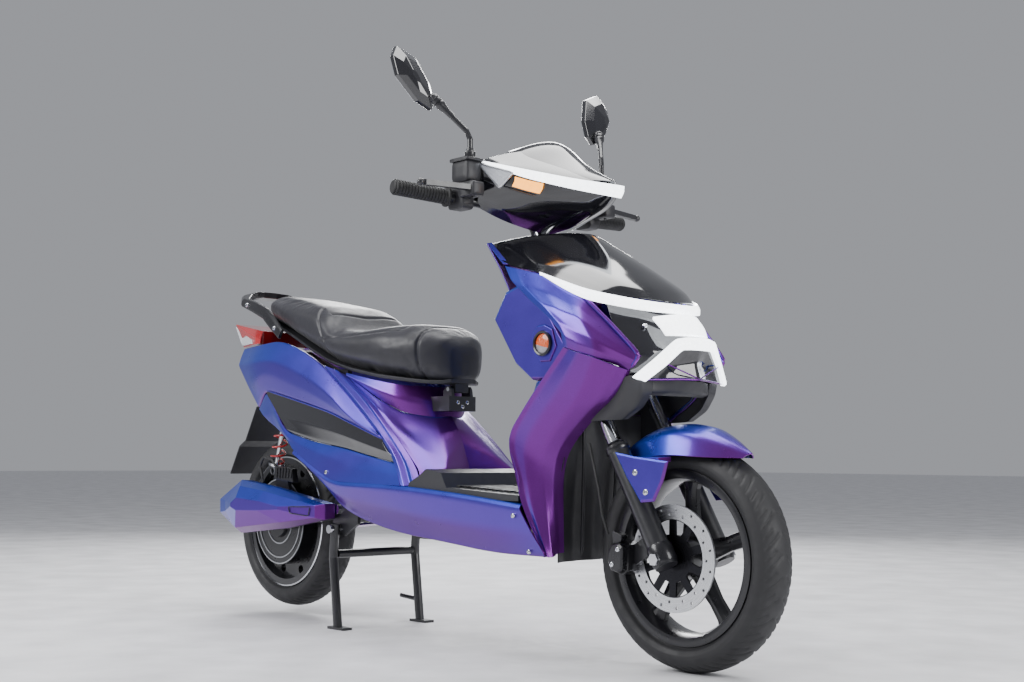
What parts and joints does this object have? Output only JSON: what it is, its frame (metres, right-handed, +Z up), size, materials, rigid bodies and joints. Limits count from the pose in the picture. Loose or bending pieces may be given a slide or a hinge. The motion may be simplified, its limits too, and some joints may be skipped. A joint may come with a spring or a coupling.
{
  "type": "moped scooter",
  "caption": "Step-through electric moped scooter with faceted body panels, two-level seat, disc-braked front wheel, hub-motor rear wheel and centre stand.",
  "frame": {"origin": "centre of the scooter's footprint, on the ground", "axes": "+X forward along the scooter, +Y to the rider's left, +Z up"},
  "size_m": [1.816, 0.7016, 1.288],
  "materials": {
    "paint": "satin metallic",
    "gloss_black": "gloss",
    "matte_black": "matte",
    "black_metal": "semi-gloss",
    "steel": "satin",
    "disc_steel": "brushed",
    "aluminium": "satin",
    "cast_black": "semi-gloss",
    "tyre": "matte",
    "rubber": "matte",
    "vinyl": "satin",
    "white_light": "clear",
    "amber": "clear",
    "amber_light": "clear",
    "red_lens": "clear",
    "screen": "clear",
    "spring_red": "gloss",
    "button_red": "satin",
    "battery_case": "matte"
  },
  "bodies": {
    "chassis": {"frame": "black_metal", "steering_bearings": "steel", "pivot_bolts": "steel", "battery_pack": "battery_case", "controller": "aluminium", "floorboard": "matte_black", "floor_mat": "rubber", "floor_sides": "paint", "leg_shields": "paint", "side_wings": "paint", "front_cover": "gloss_black", "nose_fascia": "gloss_black", "inner_guard": "matte_black", "inner_shield": "paint", "knee_reflectors": "amber", "headlight": "white_light", "running_lights": "white_light", "seat_pedestal": "paint", "tail_panels": "paint", "side_inserts": "gloss_black", "tail_light": "red_lens", "grab_rail": "black_metal", "rear_mudguard": "matte_black", "seat_hinge": "black_metal"},
    "key": {"key_barrel": "steel"},
    "seat": {"seat_base": "matte_black", "seat_cushion": "vinyl"},
    "steering": {"fork_crown": "steel", "handlebar": "black_metal", "cowl_front": "gloss_black", "cowl_rear": "matte_black", "display": "screen", "cowl_light_bar": "white_light", "front_signals": "amber_light", "bar_controls": "matte_black", "left_grip": "rubber", "mirror_stems": "black_metal"},
    "throttle": {"throttle_grip": "rubber"},
    "right_lever": {"brake_lever_right": "black_metal"},
    "left_lever": {"brake_lever_left": "black_metal"},
    "right_mirror": {"mirror_head_right": "gloss_black"},
    "left_mirror": {"mirror_head_left": "gloss_black"},
    "horn": {"horn_button": "button_red"},
    "starter": {"start_button": "button_red"},
    "fork": {"fork_legs": "black_metal", "front_mudguard": "paint", "brake_caliper": "cast_black", "front_axle": "steel", "brake_hose": "rubber"},
    "front_wheel": {"front_rim": "cast_black", "front_tyre": "tyre", "brake_disc": "disc_steel"},
    "rear_arm": {"swing_arm": "black_metal", "motor_covers": "paint"},
    "rear_wheel": {"hub_motor": "cast_black", "rear_tyre": "tyre"},
    "shock_tops": {"shock_bodies": "black_metal", "shock_springs": "spring_red"},
    "shock_feet": {"shock_rods": "steel"},
    "stand": {"centre_stand": "black_metal"}
  },
  "joints": [
    {"name": "steering_turn", "type": "hinge", "parent": "chassis", "child": "steering", "pos_m": [0.65969, 0, 0.2025], "axis": [-0.5, 0, 0.866], "range_deg": [-40, 40]},
    {"name": "fork_travel", "type": "slide", "parent": "steering", "child": "fork", "axis": [-0.5, 0, 0.866], "range_m": [0, 0.055], "stiffness_N_per_m": 9000, "springref_m": -0.07},
    {"name": "front_wheel_spin", "type": "hinge", "parent": "fork", "child": "front_wheel", "pos_m": [0.69, 0, 0.22], "axis": [0, 1, 0], "continuous": true},
    {"name": "rear_arm_swing", "type": "hinge", "parent": "chassis", "child": "rear_arm", "pos_m": [-0.33, 0, 0.283], "axis": [0, 1, 0], "range_deg": [0, 7], "stiffness_Nm_per_rad": 2500, "springref_deg": -8.59},
    {"name": "rear_wheel_spin", "type": "hinge", "parent": "rear_arm", "child": "rear_wheel", "pos_m": [-0.67, 0, 0.24], "axis": [0, 1, 0], "continuous": true},
    {"name": "shock_swing", "type": "hinge", "parent": "chassis", "child": "shock_tops", "pos_m": [-0.575, 0, 0.574], "axis": [0, 1, 0], "range_deg": [-1.2, 0]},
    {"name": "shock_stroke", "type": "slide", "parent": "shock_tops", "child": "shock_feet", "axis": [0.2538, 0, 0.9673], "range_m": [0, 0.03777], "deforming": ["shock_springs"]},
    {"name": "stand_fold", "type": "hinge", "parent": "chassis", "child": "stand", "pos_m": [-0.322, 0, 0.236], "axis": [0, 1, 0], "range_deg": [0, 58]},
    {"name": "seat_lift", "type": "hinge", "parent": "chassis", "child": "seat", "pos_m": [-0.015, 0, 0.566], "axis": [0, 1, 0], "range_deg": [0, 65]},
    {"name": "throttle_twist", "type": "hinge", "parent": "steering", "child": "throttle", "pos_m": [0.172, -0.347, 0.972], "axis": [-0.2171, -0.9731, 0.0764], "range_deg": [0, 70], "stiffness_Nm_per_rad": 0.35, "springref_deg": -17.19},
    {"name": "right_brake", "type": "hinge", "parent": "steering", "child": "right_lever", "pos_m": [0.262, -0.2, 0.975], "axis": [0, 0, -1], "range_deg": [0, 14], "stiffness_Nm_per_rad": 1.5, "springref_deg": -11.46},
    {"name": "left_brake", "type": "hinge", "parent": "steering", "child": "left_lever", "pos_m": [0.262, 0.2, 0.975], "axis": [0, 0, 1], "range_deg": [0, 14], "stiffness_Nm_per_rad": 1.5, "springref_deg": -11.46},
    {"name": "right_mirror_turn", "type": "hinge", "parent": "steering", "child": "right_mirror", "pos_m": [0.19, -0.254, 1.174], "axis": [0, 0, 1], "range_deg": [-12, 12]},
    {"name": "left_mirror_turn", "type": "hinge", "parent": "steering", "child": "left_mirror", "pos_m": [0.19, 0.254, 1.174], "axis": [0, 0, 1], "range_deg": [-12, 12]},
    {"name": "key_turn", "type": "hinge", "parent": "chassis", "child": "key", "pos_m": [0.288, -0.06, 0.78], "axis": [-0.8572, 0, 0.515], "range_deg": [0, 90]},
    {"name": "horn_press", "type": "slide", "parent": "steering", "child": "horn", "axis": [1, 0, 0], "range_m": [0, 0.003], "stiffness_N_per_m": 400, "springref_m": -0.003},
    {"name": "start_press", "type": "slide", "parent": "steering", "child": "starter", "axis": [1, 0, 0], "range_m": [0, 0.003], "stiffness_N_per_m": 400, "springref_m": -0.003}
  ],
  "couplings": [
    {"joint": "shock_swing", "follows": "rear_arm_swing", "ratio": -0.17185},
    {"joint": "shock_stroke", "follows": "rear_arm_swing", "m_per_rad": 0.30911}
  ]
}
